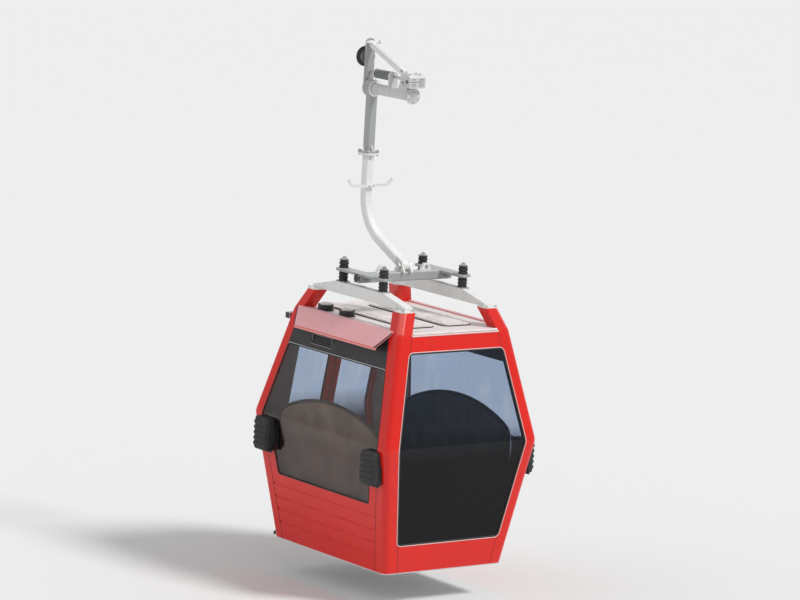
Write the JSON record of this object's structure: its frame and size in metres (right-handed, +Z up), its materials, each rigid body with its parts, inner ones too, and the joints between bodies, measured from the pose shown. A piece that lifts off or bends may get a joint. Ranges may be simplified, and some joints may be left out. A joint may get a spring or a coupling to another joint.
{
  "type": "cable car cabin with hanger and rope grip",
  "caption": "Small gondola cabin with tinted windows, a pair of sliding doors, facing benches, roof arches, curved hanger arm and a rope grip with a guide wheel.",
  "frame": {"origin": "on the rope's centre line, at the middle of the grip's jaws", "axes": "+X along the rope, +Y across it to the door side, +Z up"},
  "size_m": [1.7612, 2.054, 4.465],
  "materials": {
    "red_paint": "gloss",
    "black_panel": "satin",
    "tinted_glass": "gloss",
    "white_paint": "satin",
    "grey_paint": "satin",
    "roof_white": "satin",
    "black_rubber": "matte",
    "wheel_tyre": "matte",
    "steel": "satin",
    "cast_grip": "satin",
    "aluminium": "satin",
    "bench_shell": "matte",
    "bench_cover": "matte"
  },
  "bodies": {
    "grip": {"grip_body": "cast_grip", "grip_jaw": "cast_grip", "grip_lever": "white_paint", "grip_spring": "steel", "pivot_shaft": "steel", "wheel_bracket": "grey_paint"},
    "guide_wheel": {"wheel_hub": "aluminium", "wheel_tyre": "wheel_tyre"},
    "cabin": {"apron_front": "red_paint", "apron_rear": "red_paint", "back_pad_front": "bench_cover", "back_pad_rear": "bench_cover", "bench_front": "bench_shell", "bench_rear": "bench_shell", "bumpers_front": "black_rubber", "bumpers_rear": "black_rubber", "dampers": "black_rubber", "door_frame": "red_paint", "door_guide": "aluminium", "door_rail": "aluminium", "end_header_front": "black_panel", "end_header_rear": "black_panel", "end_panel_front": "red_paint", "end_panel_rear": "red_paint", "end_window_front": "tinted_glass", "end_window_rear": "tinted_glass", "floor_pan": "aluminium", "foot_beam": "grey_paint", "foot_pin": "steel", "foot_step": "white_paint", "foot_yoke": "white_paint", "hanger_lower": "white_paint", "hanger_upper": "grey_paint", "post_front_door": "red_paint", "post_front_window": "red_paint", "post_rear_door": "red_paint", "post_rear_window": "red_paint", "roof_arch_front": "white_paint", "roof_arch_rear": "white_paint", "roof_panel": "roof_white", "roof_vents": "black_panel", "seat_pad_front": "bench_cover", "seat_pad_rear": "bench_cover", "side_beam": "red_paint", "side_sill": "red_paint", "side_window": "tinted_glass", "spacer_lugs": "white_paint"},
    "door_front": {"door_leaf_front": "red_paint", "door_glass_front": "tinted_glass"},
    "door_rear": {"door_leaf_rear": "red_paint", "door_glass_rear": "tinted_glass"}
  },
  "joints": [
    {"name": "hanger_swing", "type": "hinge", "parent": "grip", "child": "cabin", "pos_m": [0, 0.615, -0.128], "axis": [0, 1, 0], "range_deg": [-35, 35]},
    {"name": "guide_wheel_spin", "type": "hinge", "parent": "grip", "child": "guide_wheel", "pos_m": [0, 0.738, 0.14], "axis": [0, 1, 0], "continuous": true},
    {"name": "door_slide_front", "type": "slide", "parent": "cabin", "child": "door_front", "axis": [1, 0, 0], "range_m": [0, 0.3]},
    {"name": "door_slide_rear", "type": "slide", "parent": "cabin", "child": "door_rear", "axis": [-1, 0, 0], "range_m": [0, 0.3]}
  ],
  "couplings": [
    {"joint": "door_slide_rear", "follows": "door_slide_front", "ratio": 1}
  ]
}
